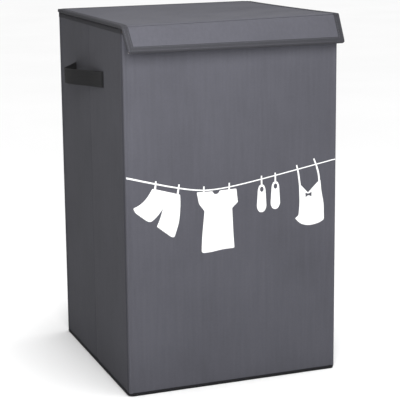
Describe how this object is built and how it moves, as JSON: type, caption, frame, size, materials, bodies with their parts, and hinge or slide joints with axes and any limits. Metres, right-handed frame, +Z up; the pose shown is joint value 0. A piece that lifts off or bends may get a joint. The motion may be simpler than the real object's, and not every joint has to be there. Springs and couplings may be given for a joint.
{
  "type": "laundry hamper",
  "caption": "Square collapsible laundry hamper of board-stiffened cloth: hinged lid with a front flap, fold-in side walls, webbing handles and a printed front panel",
  "frame": {"origin": "centre of the flat resting face on the floor, midway between the outer faces of the four walls", "axes": "+Z up, -Y towards the printed front panel, X across the width with +X on the right as seen from the front"},
  "size_m": [0.398, 0.3828, 0.573],
  "materials": {
    "cover": "grey woven polyester cloth, matt",
    "lining": "light grey nonwoven cloth, matt",
    "tape": "dark grey ribbed binding tape",
    "bottom_tape": "near black binding tape",
    "webbing": "near black woven webbing",
    "print": "white screen print, matt",
    "board": "plain brown cardboard"
  },
  "bodies": {
    "back": {"back_board": "board", "back_cover": "cover", "back_lining": "lining", "back_rim_binding": "tape", "rear_left_corner_seam": "cover", "rear_right_corner_seam": "cover", "bottom_cloth": "cover", "bottom_binding": "bottom_tape"},
    "left_rear": {"left_rear_board": "board", "left_rear_cover": "cover", "left_rear_lining": "lining", "left_rear_rim_binding": "tape", "left_crease": "cover", "left_handle": "webbing"},
    "left_front": {"left_front_board": "board", "left_front_cover": "cover", "left_front_lining": "lining", "left_front_rim_binding": "tape"},
    "right_rear": {"right_rear_board": "board", "right_rear_cover": "cover", "right_rear_lining": "lining", "right_rear_rim_binding": "tape", "right_crease": "cover", "right_handle": "webbing"},
    "right_front": {"right_front_board": "board", "right_front_cover": "cover", "right_front_lining": "lining", "right_front_rim_binding": "tape"},
    "front": {"front_board": "board", "front_cover": "cover", "front_lining": "lining", "front_rim_binding": "tape", "front_left_corner_seam": "cover", "front_right_corner_seam": "cover", "print_line": "print", "print_shorts": "print", "print_shirt": "print", "print_slippers": "print", "print_camisole": "print"},
    "base": {"base_board": "board", "base_cover": "lining"},
    "lid": {"lid_board": "board", "lid_cover": "cover", "lid_lining": "lining", "lid_binding": "tape", "lid_hinge_strip": "tape"},
    "flap": {"flap_board": "board", "flap_cover": "cover", "flap_lining": "lining", "flap_binding": "tape", "flap_fold_strip": "cover"}
  },
  "joints": [
    {"name": "fold_right_rear", "type": "hinge", "parent": "back", "child": "right_rear", "pos_m": [0.1705, 0.1645, 0.3], "axis": [0, 0, 1], "range_deg": [-85, 0]},
    {"name": "fold_left_rear", "type": "hinge", "parent": "back", "child": "left_rear", "pos_m": [-0.1705, 0.1645, 0.3], "axis": [0, 0, 1], "range_deg": [0, 85]},
    {"name": "crease_left", "type": "hinge", "parent": "left_rear", "child": "left_front", "pos_m": [-0.175, 0, 0.3], "axis": [0, 0, 1], "range_deg": [-170, 0], "deforming": ["left_crease", "left_handle"]},
    {"name": "crease_right", "type": "hinge", "parent": "right_rear", "child": "right_front", "pos_m": [0.175, 0, 0.3], "axis": [0, 0, 1], "range_deg": [0, 170], "deforming": ["right_crease", "right_handle"]},
    {"name": "fold_left_front", "type": "hinge", "parent": "left_front", "child": "front", "pos_m": [-0.1705, -0.1645, 0.3], "axis": [0, 0, 1], "range_deg": [0, 85]},
    {"name": "base_lift", "type": "hinge", "parent": "back", "child": "base", "pos_m": [0, 0.1698, 0.0044], "axis": [1, 0, 0], "range_deg": [-90, 0]},
    {"name": "lid_hinge", "type": "hinge", "parent": "back", "child": "lid", "pos_m": [0, 0.1753, 0.573], "axis": [-1, 0, 0], "range_deg": [0, 265], "deforming": ["lid_hinge_strip"]},
    {"name": "flap_fold", "type": "hinge", "parent": "lid", "child": "flap", "pos_m": [0, -0.18, 0.573], "axis": [-1, 0, 0], "range_deg": [-27, 56], "stiffness_Nm_per_rad": 0.15, "deforming": ["flap_fold_strip"]}
  ],
  "couplings": [
    {"joint": "fold_left_rear", "follows": "fold_right_rear", "ratio": -1},
    {"joint": "crease_left", "follows": "fold_right_rear", "ratio": 2},
    {"joint": "crease_right", "follows": "fold_right_rear", "ratio": -2},
    {"joint": "fold_left_front", "follows": "fold_right_rear", "ratio": -1}
  ]
}
